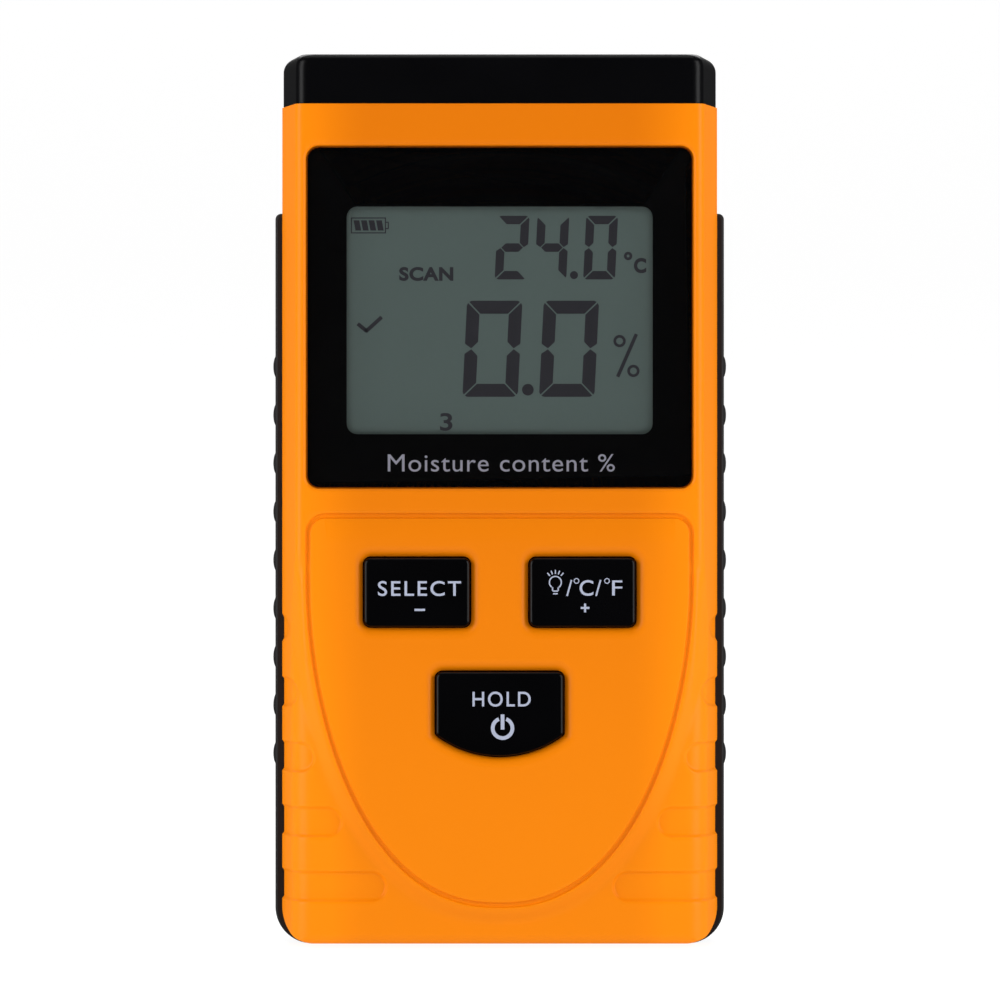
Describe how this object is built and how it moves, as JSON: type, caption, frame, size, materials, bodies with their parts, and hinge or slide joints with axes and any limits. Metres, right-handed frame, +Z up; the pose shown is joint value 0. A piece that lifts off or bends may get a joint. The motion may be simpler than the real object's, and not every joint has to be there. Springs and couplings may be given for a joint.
{
  "type": "moisture meter",
  "caption": "Hand-held pinless moisture meter with an orange front shell, black grips and end cap, a display behind a lens, press keys and a slide-off battery door.",
  "frame": {"origin": "middle of the base on which the meter stands, under the centre of its outer box", "axes": "+Z up along the meter's length to the end cap, -Y out of the display face, +Y out of the sensor cover on the back, +X to the right when facing the display"},
  "size_m": [0.072, 0.03, 0.14],
  "materials": {
    "orange_shell": "satin moulded orange plastic",
    "black_shell": "fine-grained black plastic",
    "end_cap": "semi-gloss black plastic",
    "grip": "soft matt rubber",
    "lens": "clear polished",
    "lens_border": "printed black",
    "lcd_glass": "polarised glass",
    "lcd_reflector": "silvered film",
    "backlight": "milky light guide",
    "holder": "natural plastic",
    "zebra": "striped elastomer",
    "board": "green solder mask",
    "screw_steel": "zinc-plated steel",
    "chip": "moulded epoxy",
    "crystal_can": "drawn metal can",
    "thermistor": "epoxy bead",
    "capacitor": "ceramic",
    "switch_housing": "moulded plastic",
    "plunger": "moulded plastic",
    "key": "semi-gloss black with printed signs",
    "sensor_cover": "fine-grained wear plate",
    "electrode": "bare copper",
    "sensor_lead": "insulated wire",
    "cell": "printed sleeve with bare ends",
    "contact_metal": "nickel-plated",
    "battery_lead": "insulated wire",
    "door": "fine-grained black plastic",
    "label": "blank silver film"
  },
  "bodies": {
    "case": {"front_shell": "orange_shell", "back_shell": "black_shell", "end_cap": "end_cap", "left_grip": "grip", "right_grip": "grip", "display_lens": "lens", "lens_border": "lens_border", "lcd_front_glass": "lcd_glass", "lcd_rear_glass": "lcd_glass", "lcd_reflector": "lcd_reflector", "backlight_panel": "backlight", "lcd_holder": "holder", "zebra_connector": "zebra", "circuit_board": "board", "pcb_screws": "screw_steel", "mcu_chip": "chip", "sensor_chip": "chip", "crystal": "crystal_can", "thermistor": "thermistor", "capacitors": "capacitor", "select_switch": "switch_housing", "light_switch": "switch_housing", "hold_switch": "switch_housing", "sensor_cover": "sensor_cover", "sensor_board": "board", "sensor_electrodes": "electrode", "sensor_leads": "sensor_lead", "battery_cells": "cell", "battery_springs": "contact_metal", "battery_plates": "contact_metal", "battery_leads": "battery_lead", "case_screws": "screw_steel", "rear_label": "label"},
    "select_key": {"select_key": "key", "select_plunger": "plunger"},
    "light_key": {"light_key": "key", "light_plunger": "plunger"},
    "hold_key": {"hold_key": "key", "hold_plunger": "plunger"},
    "battery_door": {"battery_door": "door"}
  },
  "joints": [
    {"name": "select_key_press", "type": "slide", "parent": "case", "child": "select_key", "axis": [0, 1, 0], "range_m": [0, 0.0005], "stiffness_N_per_m": 1000, "springref_m": -0.0003},
    {"name": "light_key_press", "type": "slide", "parent": "case", "child": "light_key", "axis": [0, 1, 0], "range_m": [0, 0.0005], "stiffness_N_per_m": 1000, "springref_m": -0.0003},
    {"name": "hold_key_press", "type": "slide", "parent": "case", "child": "hold_key", "axis": [0, 1, 0], "range_m": [0, 0.0005], "stiffness_N_per_m": 1000, "springref_m": -0.0003},
    {"name": "battery_door_slide", "type": "slide", "parent": "case", "child": "battery_door", "axis": [0, 0, -1], "range_m": [0, 0.062]}
  ]
}
